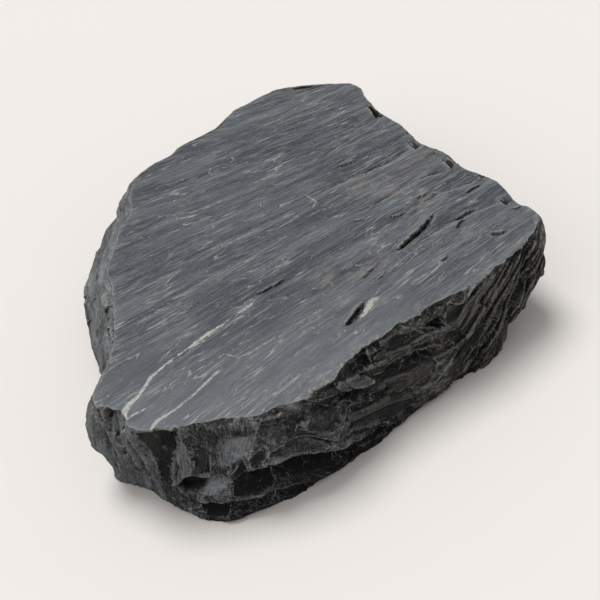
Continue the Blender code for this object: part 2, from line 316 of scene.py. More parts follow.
# Quartz threads that fill old cracks in the walls: how plain they show, their half width, and their
# routes as (run, height).
THREADS = (
    (0.9, 0.3, ((22, 63), (23, 67), (30, 71), (34, 73), (36, 76))),
    (0.7, 0.2, ((21, 77), (27, 82), (32, 81))),
    (0.5, 0.1, ((13, 63), (15, 66), (16, 69))),
    (0.8, 0.2, ((7, 58), (9, 59), (13, 60), (15, 57))),
    (0.9, 0.4, ((1, 61), (3, 59), (5, 56), (4, 53))),
    (0.9, 0.3, ((-12, 52), (-10, 48), (-8, 43), (-10, 33))),
    (0.8, 0.2, ((50, 58), (52, 53), (53, 48), (52, 45), (50, 43), (50, 39))),
    (0.7, 0.1, ((41, 47), (47, 47), (51, 45))),
    (0.7, 0.1, ((44, 48), (49, 48), (53, 45))),
    (1.0, 0.4, ((47, 36), (53, 30), (59, 14), (66, 12))),
    (0.7, 0.2, ((43, 78), (47, 78), (50, 74))),
    (0.6, 0.1, ((69, 43), (71, 38), (71, 33))),
    (0.8, 0.2, ((76, 22), (80, 17), (85, 13))),
    (0.8, 0.2, ((8, 7), (11, 11), (13, 13))),
    (0.5, 0.1, ((8, 19), (12, 18), (19, 15))),
    (0.9, 0.3, ((0, 85), (-2, 81), (-3, 75), (-1, 67))),
    (0.7, 0.2, ((-5, 82), (-4, 78), (-2, 72))),
    (1.0, 0.4, ((8, 81), (12, 83), (16, 85), (20, 87))),
    (0.7, 0.3, ((-81, 83), (-75, 74), (-70, 62), (-67, 52), (-65, 41), (-65, 24))),
    (0.6, 0.2, ((-53, 88), (-46, 84), (-41, 73), (-36, 63))),
    (0.8, 0.2, ((-51, 83), (-49, 71), (-48, 64), (-44, 57))),
    (0.6, 0.2, ((-36, 63), (-28, 57), (-27, 46), (-23, 40))),
    (1.0, 0.7, ((-92, 58), (-89, 56), (-84, 60))),
    (1.0, 0.5, ((-96, 47), (-95, 41))),
    (1.0, 0.7, ((-94, 31), (-94, 24), (-94, 14))),
    (0.7, 0.2, ((-86, 47), (-79, 50), (-72, 46))),
    (0.7, 0.3, ((-53, 13), (-50, 5), (-42, 10), (-38, 17))),
    (0.7, 0.2, ((-101, 85), (-98, 78), (-96, 65), (-97, 55))),
    (0.9, 0.4, ((-22, 42), (-21, 31), (-22, 22))),
    (0.9, 0.3, ((90, 85), (97, 82), (106, 67), (113, 60), (115, 48), (122, 43), (127, 45), (130, 41))),
    (0.7, 0.2, ((95, 73), (100, 69), (106, 66), (105, 59))),
    (0.7, 0.1, ((123, 83), (122, 70), (121, 56), (119, 54))),
    (0.9, 0.5, ((133, 32), (129, 29), (126, 26), (122, 22), (116, 16))),
    (0.7, 0.1, ((116, 17), (115, 27), (118, 23), (122, 24))),
    (0.7, 0.2, ((92, 51), (96, 50), (97, 59), (102, 57))),
    (0.7, 0.2, ((99, 24), (105, 15), (101, 11), (103, 7))),
    (0.6, 0.1, ((92, 26), (99, 24), (106, 19), (113, 16))),
)

# Marks laid in the top's surface: name, route as (x, y) and half width. Cream calcite lines the pale
# hollow, rust stains the back, and a net of fine cracks lies beside the long lift.
MARKS = (
    ("cream", ((1, -93.5), (9, -91.5), (17, -88.5)), 2.0),
    ("rust", ((90, 11), (96, -2), (103, -20)), 8.0),
    ("rust", ((104, -14), (112, -30), (118, -47)), 9.0),
    ("rust", ((8, -50), (5, -66), (2, -80)), 7.0),
    ("rust", ((129, -8), (148, -13)), 7.0),
    ("rust", ((20, -64), (50, -64)), 4.5),
    ("net", ((36, -66), (60, -74), (92, -78)), 11.0),
    ("net", ((-46, -121), (-24, -120)), 9.0),
    ("net", ((26, -119), (40, -120)), 9.0),
    ("net", ((84, -122), (100, -124)), 9.0),
    ("net", ((-90, -106), (-60, -110)), 10.0),
)


def route_places(points, route):
    """For each point, its signed distance from a route in plan, how far along it lies, and its gap."""
    route = np.array(route, float)[:, :2]
    best = np.full(len(points), np.inf)
    side, along = np.zeros(len(points)), np.zeros(len(points))
    walked = 0.0
    for start, end in zip(route[:-1], route[1:]):
        length = np.linalg.norm(end - start)
        ahead = (end - start) / length
        local = points[:, :2] - start
        run = np.clip(local @ ahead, 0.0, length)
        gap = np.linalg.norm(local - run[:, None] * ahead, axis=1)
        turn = local @ np.array([ahead[1], -ahead[0]])
        closer = gap < best
        best = np.where(closer, gap, best)
        side = np.where(closer, np.copysign(gap, turn), side)
        along = np.where(closer, walked + run, along)
        walked += length
    return side, along / walked, best


def wall_chart(points):
    """Each point's run and height on the broken walls."""
    return np.stack([points[:, :2] @ RUN, points[:, 2]], axis=1)


def crooked_chart(points):
    """The same, with its places shifted about a little so that no drawn edge comes out straight."""
    chart = wall_chart(points)
    for pitch, shift, seeds in ((9.0, 0.9, (371, 372)), (3.0, 0.4, (373, 374))):
        chart += shift * np.stack([lattice_noise(points / pitch, seed) for seed in seeds], axis=1)
    return chart


def inside(chart, outline):
    """Which places lie inside a closed outline."""
    across, up = chart.T
    odd = np.zeros(len(chart), bool)
    for (x0, z0), (x1, z1) in zip(outline, outline[1:] + outline[:1]):
        if z0 != z1:
            odd ^= ((z0 > up) != (z1 > up)) & (across < (x1 - x0) * (up - z0) / (z1 - z0) + x0)
    return odd


def facet(skin, chart, facing, outline, turn, lean, depth, border, tone):
    """Move the wall inside an outline onto one plane, sideways only, and mark its seams."""
    low, high = np.min(outline, axis=0) - 4, np.max(outline, axis=0) + 4
    near = np.flatnonzero(np.all((chart > low) & (chart < high), axis=1) & on_front(facing))
    gap = route_places(chart[near], outline + outline[:1])[2]
    within = inside(chart[near], outline)
    skin.seam[near] = np.minimum(skin.seam[near], gap + (0.65 if tone < -0.3 else 0.3))
    hit, gap = near[within], gap[within]
    nx, ny, nz = facing[hit].mean(axis=0)
    bearing = math.atan2(ny, nx) + math.radians(turn)
    rise = math.atan2(nz, math.hypot(nx, ny)) + math.radians(lean)
    out = np.array([math.cos(bearing) * math.cos(rise), math.sin(bearing) * math.cos(rise), math.sin(rise)])
    height = (skin.points[hit] - skin.points[hit].mean(axis=0)) @ out + depth
    share = ramp(gap, 0.0, border) * ramp(chart[hit, 1], RIM_HEIGHT, RIM_HEIGHT - 3)
    level = out * (1, 1, 0) / (out[0] ** 2 + out[1] ** 2)
    skin.points[hit] -= (share * height)[:, None] * level
    skin.tone[hit] += (tone - skin.tone[hit]) * ramp(gap, -0.5, 0.8)
    skin.calm[hit] = ramp(gap, 0.0, 2.0)


def undercut(skin, chart, facing, route, depth, reach, shade, painted_shade_reach):
    """Hollow the wall under a bed's edge, leave the edge itself a little proud, and paint shade into the tone
    below it.
    """
    near = np.flatnonzero(on_front(facing))
    side, along = route_places(chart[near], route)[:2]
    ends = ramp(along, -0.02, 0.03) * ramp(along, 1.0, 0.92)
    under = ramp(side, 0.0, 0.8) * ramp(side, 2.2 * reach, 0.5 * reach)
    lip = np.where(side <= 0, -0.9 * np.exp(side / 3.0), 0.0)
    skin.points[near] -= (facing[near] * (1, 1, 0)) * (ends * (depth * under + lip))[:, None]
    # Painted shade: the rock under the edge is darkened in its tone.
    skin.tone[near] -= shade * ends * ramp(side, 0.0, 0.8) * ramp(side, depth + painted_shade_reach, depth)
    skin.seam[near] = np.minimum(skin.seam[near], np.abs(side + 0.2) + 0.15 + 1.5 * (1 - ends))


def dishes(points, seed, tilt, hollow):
    """Flake scars on a unit lattice: shallow dishes at chance tilts that meet in sharp ridges."""
    draw = np.random.default_rng(seed)
    scars = draw.uniform(-1, 1, size=(256, 7))
    shuffle = draw.permutation(256)
    cell = np.floor(points).astype(np.int64)
    lowest, tone = np.full(len(points), np.inf), np.zeros(len(points))
    for step in itertools.product((-1, 0, 1), repeat=3):
        near = cell + step
        scar = scars[cell_numbers(near, shuffle)]
        local = points - (near + 0.5 + 0.45 * scar[:, :3])
        height = tilt * np.einsum("ij,ij->i", scar[:, 3:6], local)
        height += hollow * np.einsum("ij,ij->i", local, local) + 0.3 * scar[:, 6]
        tone = np.where(height < lowest, scar[:, 5], tone)
        lowest = np.minimum(lowest, height)
    return lowest - np.mean(lowest), tone


# How high the beds lie along the front, as (x, height): they dip to the middle, then rise to the right.
BED_RISE = ((-180, 64), (20, 0), (40, 0), (62, 5), (90, 30), (134, 74), (180, 105))


def bed_height(points):
    """Height through the beds as the wall shows them."""
    x, y, z = points.T
    front = ramp(-y, -20, 60)
    rise = front * np.interp(x, *np.transpose(BED_RISE)) + (1 - front) * 0.08 * x
    return z - rise + 3.0 * lattice_noise(points * (1 / 60, 1 / 60, 1 / 40), 311)


# Flake scars all over the walls, coarse to fine: cell along the wall, cell up it, height, chance tilt
# and hollow.
SCARS = ((42, 20, 5.0, 0.55, 0.25), (15, 8, 3.0, 0.75, 0.3), (5, 3.2, 1.15, 0.8, 0.3))


def in_cells(points, height, wide, high):
    """Places on a lattice whose cells are this wide and high, with the height taken as given."""
    return np.stack([points[:, 0] / wide, points[:, 1] / wide, height / high], axis=1)


def wandering_dishes(place, warp_seed, *shape):
    """Dishes whose lattice is bent a little, so that the scars don't stand in rows."""
    return dishes(place + 0.25 * lattice_noise(place, warp_seed)[:, None], *shape)


def break_wall(skin, grades):
    """Move the wall in and out by flake scars, sideways only, so that the top's rim stays at its height."""
    sideways = skin.normals(10) * (1, 1, 0)
    wall = steep(skin.normals(3), 0.15, 0.5)
    hit = np.flatnonzero(wall > 0)
    points, facing = skin.points[hit], sideways[hit]
    bed = bed_height(points)
    upright = splits_upright(points, facing)
    patchy = 0.55 + 0.45 * ramp(lattice_noise(points / 26.0, 343), -0.3, 0.3)
    for cell, high, amount, tilt, hollow in grades:
        place = in_cells(points, bed, cell, high)
        height, tone = wandering_dishes(place, 341, SEED + int(cell), tilt, hollow)
        place = in_cells(points, points[:, 2], 0.6 * cell, 2.0 * high)
        standing, other_tone = wandering_dishes(place, 342, SEED + 1 + int(cell), tilt, hollow)
        height += (0.8 * standing - height) * upright
        tone = np.where(upright > 0.5, other_tone, tone)
        calm = 1 - 0.75 * skin.calm[hit] if cell < 20 else 1.0
        skin.points[hit] += facing * (amount * calm * patchy * wall[hit] * height)[:, None]
        skin.tone[hit] += 0.42 * calm * tone * wall[hit]


def laminate(skin):
    """Edges of thin layers standing out of the wall, most of all at the right end of the front."""
    normals, points = skin.normals(6), skin.points
    bed = bed_height(points)
    layer = in_cells(points, bed, 70, 3.4)
    fine = lattice_noise(layer, 321) + 0.5 * lattice_noise(layer * (1.5, 1.5, 2.3), 322)
    steps = ramp(fine, -0.1, 0.25) - 0.5
    right = ramp(points[:, 0], 40, 75) * ramp(-points[:, 1], 60, 100) * ramp(bed, 4.0, -4.0)
    upright = splits_upright(points, normals)
    strength = (0.35 + 0.9 * right) * (1 - 0.8 * upright) * (1 - 0.8 * skin.calm)
    run = wall_chart(points)[:, 0] + 0.4 * bed
    wide = ramp(run, 40, 75) * ramp(normals[:, :2] @ TOWARD, 0.0, 0.3)
    wide *= ramp(points[:, 2], RIM_HEIGHT - 1, RIM_HEIGHT - 7)
    broad = ramp(lattice_noise(in_cells(points, bed, 60, 9.0), 323), -0.12, 0.12) - 0.5
    grooves = 0.7 * lattice_noise(points * (1 / 3.6, 1 / 3.6, 1 / 34), 324)
    grooves += 0.35 * lattice_noise(points * (1 / 1.9, 1 / 1.9, 1 / 20), 325)
    grooves *= upright * (1 - 0.6 * skin.calm)
    side = steep(normals, 0.25, 0.6)
    points += (normals * (1, 1, 0)) * (side * (strength * steps + 2.2 * wide * broad + grooves))[:, None]
    skin.tone += side * wide * (0.25 + 0.8 * broad + 0.3 * steps)


def ripple_top(skin):
    """Silky ripples and low steps along the grain on the split top, and bigger waves to the back right."""
    top = ramp(skin.normals(4)[:, 2], 0.7, 0.95) * (skin.points[:, 2] > TOP_FROM)
    hit = np.flatnonzero(top > 0)
    along, across = skin.points[hit, 0], across_grain(skin.points[hit])
    flat = np.zeros(len(hit))

    def grained(run, pitch, lift, seed):
        return lattice_noise(np.stack([along / run, across / pitch, flat + lift], axis=1), seed)

    rough = 0.6 + 0.8 * ramp(along, 20, 120)
    waves = ramp(along, 10, 110) * ramp(skin.points[hit, 1], -120, -40)
    relief = rough * (0.8 * grained(80, 16, 0.3, 331) + 0.25 * grained(50, 5, 0.7, 332))
    relief += 0.3 * rough * ramp(grained(60, 9, 0.5, 334), 0.0, 0.12)
    relief += 2.6 * waves * grained(75, 22, 0.9, 335) + 1.2 * waves * grained(30, 11, 0.2, 336)
    skin.points[hit, 2] += top[hit] * (relief - 0.5 - 1.4 * waves)


def lift_layers(skin):
    """Drop the top just past each lifted layer's edge and let it come back up slowly."""
    top = ramp(skin.normals(4)[:, 2], 0.6, 0.9) * (skin.points[:, 2] > TOP_FROM)
    hit = np.flatnonzero(top > 0)
    points, top = skin.points[hit], top[hit]
    waver = 0.4 * lattice_noise(points * (1 / 7, 1 / 7, 0), 351)
    waver += 0.12 * lattice_noise(points * (1 / 2.5, 1 / 2.5, 0), 352)
    fall = np.zeros(len(hit))
    for _, route, drop, recover in LIFTS:
        side, along, gap = route_places(points, route)
        side = side + waver
        ends = ramp(along, 0.0, 0.22) * ramp(along, 1.0, 0.6)
        past = ramp(side, -0.3, 0.5) * np.exp(-np.maximum(side, 0) / (recover * (0.3 + 0.7 * ends)))
        past *= gap < 5 * recover
        fall += top * ends * drop * past
        sudden = recover < 5
        lip = np.abs(side + 0.4) + 1.5 * (1 - top * ends) + (0.1 if sudden else 0.4)
        skin.seam[hit] = np.minimum(skin.seam[hit], lip)
        if sudden:
            skin.crevice[hit] = np.maximum(skin.crevice[hit], ramp(ends * past * drop, 0.5, 2.4))
    skin.points[hit, 2] -= fall


def nibble_rim(skin):
    """Bite small chips out of the top's rim."""
    normals, points = skin.normals(2), skin.points
    rim = ramp(normals[:, 2], 0.15, 0.4) * ramp(normals[:, 2], 0.97, 0.8)
    rim *= ramp(points[:, 2], TOP_FROM, TOP_FROM + 8)
    bite = dishes(points / 7.0, 361, 0.5, 0.6)[0] + 0.5 * dishes(points / 3.0, 362, 0.5, 0.6)[0]
    often = ramp(lattice_noise(points / 30.0, 363), -0.3, 0.4)
    points -= normals * (rim * often * np.clip(1.0 - 2.2 * bite, 0, 2.0))[:, None]


def soften_walls(skin):
    """Blur the flat flakes of the walls and let them out a little, ready for the finer breaks."""
    share = steep(skin.normals(3), 0.2, 0.6) * ramp(skin.points[:, 2], RIM_HEIGHT, RIM_HEIGHT - 5)
    share = share[:, None]
    skin.points += (skin.blurred(skin.points, 14) - skin.points) * share
    skin.points += skin.normals(4) * share * (0.8, 0.8, 0.0)


def store(mesh, name, values):
    """Keep a value, or a vector, for each point of the mesh under a name that its finish reads."""
    kind = "FLOAT" if values.ndim == 1 else "FLOAT_VECTOR"
    layer = mesh.attributes.new(name, kind, "POINT")
    layer.data.foreach_set("value" if values.ndim == 1 else "vector", values.astype(np.float32).ravel())


def occlusion(mesh):
    """How much of the open air the stone itself keeps from each of its points, 0 to 1, for the finish's
    painted shade.
    """
    count = len(mesh.vertices)
    places, facing = np.empty((count, 3), np.float32), np.empty((count, 3), np.float32)
    mesh.vertices.foreach_get("co", places.ravel())
    mesh.vertex_normals.foreach_get("vector", facing.ravel())
    draw = np.random.default_rng(SEED)
    rays = draw.normal(size=(SHELTER_RAYS, 3))
    rays /= np.linalg.norm(rays, axis=1)[:, None]
    tree = BVHTree.FromPolygons(places.tolist(), [face.vertices[:] for face in mesh.polygons])
    hidden = np.zeros(count)
    for k, (place, out) in enumerate(zip(places, facing)):
        if place[2] * METRE > 1.0:
            start = Vector(place + out * 0.4 / METRE)
            for ray in rays:
                if tree.ray_cast(start, Vector(out * 1.05 + ray), SHELTER_REACH / METRE)[0]:
                    hidden[k] += 1.0
    return hidden / len(rays)


def nearest_streak(places, rows):
    """For each place, its distance from the edge of the nearest streak and how plain that streak is."""
    edge, share = np.full(len(places), 9.0), np.zeros(len(places))
    for plain, route in rows:
        along, gap = route_places(places, route)[1:]
        steps = np.linalg.norm(np.diff(np.array(route)[:, :2], axis=0), axis=1)
        stops = np.concatenate([[0.0], np.cumsum(steps)]) / steps.sum()
        over = gap - 0.25 - 1.1 * np.interp(along, stops, np.array(route)[:, 2])
        share = np.where(over < edge, plain, share)
        edge = np.minimum(edge, over)
    return edge, share


def mark_skin(stone, skin, chart, facing):
    """Store what the finish needs to know: top or wall, arrises, hollows, grain, beds and streaks."""
    points, normals = skin.points, skin.normals(1)
    x, y, z = points.T
    vein_edge, vein_share = nearest_streak(points, VEINS)
    threads = [(plain, [(*place, half_width) for place in route]) for plain, half_width, route in THREADS]
    thread_edge, thread_share = nearest_streak(chart, threads)
    thread_edge[~on_front(facing)] = 9.0
    values = {
        "top": ramp(normals[:, 2], 0.66, 0.82) * ramp(z, 77, 80) * (1 - skin.calm),
        "crest": (points - skin.blurred(points, 24))[:, 2],
        "arris": np.einsum("ij,ij->i", points - skin.blurred(points, 3), normals),
        "grain": np.stack([x, across_grain(points), z], axis=1),
        "bed": np.stack([x, y, bed_height(points)], axis=1),
        # lean, how far a point faces up, drives the walls' painted light and shade.
        "lean": normals[:, 2],
        "tone": skin.tone, "calm": skin.calm, "seam": skin.seam, "crevice": skin.crevice,
        "vein_edge": vein_edge, "vein_share": vein_share,
        "thread_edge": thread_edge, "thread_share": thread_share,
    }
    for kind in ("cream", "rust", "net"):
        values[kind] = np.zeros(len(points))
        for name, route, half_width in MARKS:
            if name == kind:
                mark = np.exp(-(route_places(points, route)[2] / half_width) ** 2)
                values[kind] = np.maximum(values[kind], mark)
    for name, value in values.items():
        store(stone.data, name, value)
    streak_edge = np.minimum(np.minimum(vein_edge + (z < TOP_FROM) * 9, thread_edge), skin.seam)
    near_streak = np.flatnonzero(streak_edge < 1.4)
    stone.vertex_groups.new(name="streaks").add(near_streak.tolist(), 1.0, "REPLACE")


def thin_out(stone, triangles):
    """Merge small triangles where the skin is plain, and keep them all where a thin streak runs."""
    thin = stone.modifiers.new("thin", "DECIMATE")
    thin.vertex_group, thin.invert_vertex_group = "streaks", True
    thin.ratio = MOST_TRIANGLES / triangles
    bake_modifiers(stone)
    stone.vertex_groups.clear()


def shape_stone():
    """The whole stone: the slab's solid under a fine skin that is broken, layered, rippled and chipped."""
    stone = fine_copy()
    skin = Skin(stone.data)
    low_corner, high_corner = skin.points.min(axis=0), skin.points.max(axis=0)
    soften_walls(skin)
    break_wall(skin, SCARS[:1])
    facing, chart = skin.normals(16), crooked_chart(skin.points)
    for _, *cut in FACETS:
        facet(skin, chart, facing, *cut)
    for _, *cut in LEDGES:
        undercut(skin, chart, facing, *cut)
    break_wall(skin, SCARS[1:])
    laminate(skin)
    nibble_rim(skin)
    ripple_top(skin)
    lift_layers(skin)
    skin.points += 0.35 * (skin.blurred(skin.points, 1) - skin.points)
    skin.points = np.clip(skin.points, low_corner, high_corner)
    skin.points[skin.points[:, 2] < FOOT_RELIEF, 2] = 0.0
    stone.data.vertices.foreach_set("co", (skin.points / METRE).astype(np.float32).ravel())
    stone.data.update()
    mark_skin(stone, skin, chart, facing)
    thin_out(stone, 2 * len(skin.quads))
    # The stone's own occlusion, which the finish lays on as painted shade.
    store(stone.data, "occlusion", occlusion(stone.data))
    stone.data.shade_smooth()
    stone.data.set_sharp_from_angle(angle=math.radians(SHARP_ANGLE))
    return stone


# ---------------------------------------------------------------- finish

class Nodes:
    """Short calls for the nodes of one material. An input is a value or another node's output."""

    def __init__(self, material):
        material.use_nodes = True
        self.tree = material.node_tree
        self.shader = self.tree.nodes["Principled BSDF"]

    def feed(self, socket, value):
        if isinstance(value, bpy.types.NodeSocket):
            self.tree.links.new(value, socket)
        else:
            socket.default_value = value

    def add(self, kind, inputs=None, **settings):
        node = self.tree.nodes.new(kind)
        for name, value in settings.items():
            setattr(node, name, value)
        for key, value in (inputs or {}).items():
            self.feed(node.inputs[key], value)
        return node

    def calc(self, operation, *values):
        return self.add("ShaderNodeMath", dict(enumerate(values)), operation=operation).outputs[0]

    def times(self, value, *others):
        for other in others:
            value = self.calc("MULTIPLY", value, other)
        return value

    def highest(self, value, *others):
        for other in others:
            value = self.calc("MAXIMUM", value, other)
        return value

    def scaled_sum(self, value, factor, added):
        """The value times a factor, plus what is added."""
        return self.calc("MULTIPLY_ADD", value, factor, added)

    def between(self, start, end, share):
        """A value that goes from start to end as the share goes from 0 to 1."""
        return self.scaled_sum(self.calc("SUBTRACT", end, start), share, start)

    def sway(self, value, source, strength):
        """A value that a noise of 0 to 1 moves up and down."""
        return self.scaled_sum(self.calc("SUBTRACT", source, 0.5), strength, value)

    def fade(self, value, start, end, low=0.0, high=1.0, kind="SMOOTHSTEP"):
        """Low at start, high at end, eased between them."""
        inputs = {"Value": value, "From Min": start, "From Max": end, "To Min": low, "To Max": high}
        return self.add("ShaderNodeMapRange", inputs, interpolation_type=kind).outputs["Result"]

    def tint(self, share, under, over, blend="MIX"):
        """One colour laid over another by a share."""
        under, over = ((*shade, 1.0) if isinstance(shade, tuple) else shade for shade in (under, over))
        inputs = {0: share, 6: under, 7: over}
        return self.add("ShaderNodeMix", inputs, data_type="RGBA", blend_type=blend).outputs[2]

    def scaled(self, vector, scale, offset=(0, 0, 0)):
        return self.add("ShaderNodeMapping", {0: vector, "Location": offset, "Scale": scale}).outputs[0]

    def noise(self, vector, grain, detail=3.0, rough=0.6, warp=0.0, offset=(0, 0, 0)):
        """Noise of about 0 to 1 with its own grain in mm along each way; a grain of 0 is endless."""
        scale = tuple(1 / size if size else 0 for size in grain)
        inputs = {0: self.scaled(vector, scale, offset), "Scale": 1.0, "Detail": detail,
                  "Roughness": rough, "Distortion": warp}
        return self.add("ShaderNodeTexNoise", inputs).outputs[0]

    def patches(self, size, offset, start, end, low=0.0):
        """Round patches about this many mm across: 1 in them, low between them."""
        return self.fade(self.noise(self.place, (size,) * 3, offset=offset), start, end, low)

    def crossing(self, source, edge, core):
        """Thin crooked lines: 1 where a noise passes through its middle value."""
        return self.fade(self.calc("ABSOLUTE", self.calc("SUBTRACT", source, 0.5)), edge, core)

    def attribute(self, name, output="Fac"):
        return self.add("ShaderNodeAttribute", attribute_name=name).outputs[output]

    def web(self, vector, cell, thin):
        """A net of fine crooked lines: 1 on a line, 0 off it."""
        inputs = {0: self.scaled(vector, (2 / cell,) * 3), "Scale": 1.0, "Detail": 4.0, "Roughness": 0.65}
        bent = self.add("ShaderNodeTexNoise", inputs).outputs["Color"]
        bent = self.add("ShaderNodeVectorMath", {0: bent, 1: (1.1,) * 3}, operation="MULTIPLY").outputs[0]
        inputs = {0: self.scaled(vector, (1 / cell,) * 3), 1: bent}
        place = self.add("ShaderNodeVectorMath", inputs, operation="ADD").outputs[0]
        cells = self.add("ShaderNodeTexVoronoi", {0: place, "Scale": 1.0}, feature="DISTANCE_TO_EDGE")
        whole = self.fade(self.noise(vector, (cell / 1.6,) * 3, offset=(8, 8, 8)), 0.44, 0.56)
        return self.times(self.fade(cells.outputs["Distance"], 1.6 * thin, 0.4 * thin), whole)


class SlateNodes(Nodes):
    """The nodes of the slate's finish, with what more than one of its layers reads."""

    def __init__(self, material):
        super().__init__(material)
        coordinates = self.add("ShaderNodeTexCoord").outputs["Object"]
        self.place = self.scaled(coordinates, (METRE,) * 3)
        self.x, self.y, self.z = self.add("ShaderNodeSeparateXYZ", {0: self.place}).outputs
        self.grain, self.bed = self.attribute("grain", "Vector"), self.attribute("bed", "Vector")
        self.top, self.arris, self.calm = map(self.attribute, ("top", "arris", "calm"))
        self.streaks = self.noise(self.grain, (40, 1.5, 0), 3, 0.55, 0.2, (3, 2, 0))
        self.speck = self.noise(self.place, (1.1, 1.1, 1.1), 3, 0.7)
        self.grit = self.noise(self.place, (2.4, 2.4, 1.6), 5, 0.72)
        self.frayed = self.times(self.calc("SUBTRACT", self.speck, 0.5), 2.6)
        self.crazed = self.times(self.web(self.place, 7.0, 0.030), self.attribute("net"))
        chips = self.scaled(self.bed, (1 / 4.5, 1 / 4.5, 1 / 3.0))
        self.chips = self.add("ShaderNodeTexVoronoi", {0: chips, "Scale": 1.0}).outputs


# The broken rock of the walls, from its darkest to its lightest: place among its tones and colour.
WALL_SHADES = ((0.0, (0.003, 0.003, 0.004)), (0.26, (0.019, 0.019, 0.019)), (0.49, (0.045, 0.043, 0.039)),
               (0.82, (0.165, 0.168, 0.170)), (1.0, (0.27, 0.272, 0.27)))
VEIN_QUARTZ, THREAD_QUARTZ, WEB_QUARTZ = (0.52, 0.50, 0.46), (0.34, 0.33, 0.31), (0.27, 0.26, 0.245)
SEAM, WORN, SCRATCH = (0.31, 0.307, 0.295), (0.26, 0.257, 0.248), (0.27, 0.265, 0.25)
CREAM, RUST, NET, HAIR = (0.50, 0.48, 0.43), (0.255, 0.228, 0.198), (0.33, 0.32, 0.31), (0.38, 0.38, 0.375)
# Painted shade: near-black colours laid into the top's slits, into concave creases and where the stone
# occludes itself.
PAINTED_SLIT_SHADE, PAINTED_CREASE_SHADE, PAINTED_OCCLUSION_SHADE = (0.008, 0.008, 0.009), (0.004, 0.004, 0.005), (0.005, 0.005, 0.006)


def split_top(n):
    """Silky cleavage: soft bands, fine grain and streaks along it, painted light and shade on its ripples and
    towards its near rim, then hairs, cracks, stains and slits laid in painted shade.
    """
    bands = n.noise(n.grain, (70, 6, 0), 5, 0.62, 0.4, (7, 0, 0))
    silk = n.noise(n.grain, (13, 0.8, 0), 3, 0.6, 0.6, (1, 9, 0))
    crest = n.attribute("crest")
    busy = n.fade(n.noise(n.grain, (38, 13, 0), 3, 0.6, 0.4, (6, 6, 0)), 0.38, 0.62, 0.25)
    busy = n.calc("ADD", busy, n.fade(n.x, 20.0, 120.0, 0.0, 0.35))
    broad = n.fade(n.noise(n.grain, (150, 22, 0), 3, 0.5, 0.3), 0.36, 0.64)
    cloth = n.tint(broad, (0.050, 0.055, 0.063), (0.108, 0.114, 0.122))
    # what shows, its values where it starts and where it is full, its strength, where it lies, its colour
    for source, start, full, most, where, shade in (
            (bands, 0.50, 0.68, 0.75, None, (0.165, 0.171, 0.179)),
            (bands, 0.47, 0.33, 0.75, None, (0.042, 0.046, 0.054)),
            # Painted light and shade: the ripples' crests are paler and their hollows darker.
            (crest, 0.1, 0.7, 0.5, None, (0.205, 0.210, 0.216)),
            (crest, -0.1, -0.7, 0.6, None, (0.036, 0.039, 0.045)),
            (n.streaks, 0.52, 0.66, 0.75, busy, (0.200, 0.204, 0.210)),
            (n.streaks, 0.47, 0.33, 0.8, busy, (0.036, 0.039, 0.046)),
            (silk, 0.51, 0.66, 0.6, busy, (0.225, 0.229, 0.233)),
            (silk, 0.48, 0.33, 0.6, busy, (0.034, 0.037, 0.043)),
            (n.speck, 0.54, 0.74, 0.7, None, (0.220, 0.224, 0.228)),
            (n.speck, 0.46, 0.28, 0.6, None, (0.036, 0.039, 0.045))):
        share = n.fade(source, start, full, 0.0, most)
        cloth = n.tint(share if where is None else n.times(share, where), cloth, shade)
    # Painted light: the top is paler towards its near rim.
    painted_front_light = n.fade(n.scaled_sum(n.x, 0.45, n.y), -40.0, -135.0, 0.0, 0.45)
    cloth = n.tint(painted_front_light, cloth, (0.175, 0.182, 0.190))
    cloth = n.tint(1.0, cloth, (0.97, 1.0, 1.025), "MULTIPLY")
    hairs = []
    for k, (run, pitch, thin, rare) in enumerate(
            ((110, 7, 0.010, 0.42), (60, 4, 0.012, 0.51), (30, 8, 0.010, 0.50))):
        path = n.noise(n.grain, (run, pitch, 0), 3, 0.45, 0.4, (5 * k + 1, 3, 0))
        patch = n.noise(n.grain, (40, 16, 0), offset=(4, 4 * k + 1, 0))
        hairs.append(n.times(n.crossing(path, thin, 0.2 * thin), n.fade(patch, rare, rare + 0.14)))
    cloth = n.tint(n.times(n.highest(*hairs), 0.68), cloth, HAIR)
    cloth = n.tint(n.times(n.crazed, 0.45), cloth, NET)
    stain = n.fade(n.noise(n.grain, (14, 4, 0), 4, 0.65, 0.5), 0.42, 0.62)
    cloth = n.tint(n.times(stain, n.attribute("rust"), 0.55), cloth, RUST)
    cream = n.times(n.attribute("cream"), n.patches(3, (0, 0, 0), 0.3, 0.55, 0.3))
    cloth = n.tint(n.fade(cream, 0.15, 0.6, 0.0, 0.75), cloth, CREAM)
    # Painted shade: slits in the top are laid near black.
    return n.tint(n.fade(n.attribute("crevice"), 0.1, 0.9, 0.0, 0.93), cloth, PAINTED_SLIT_SHADE)


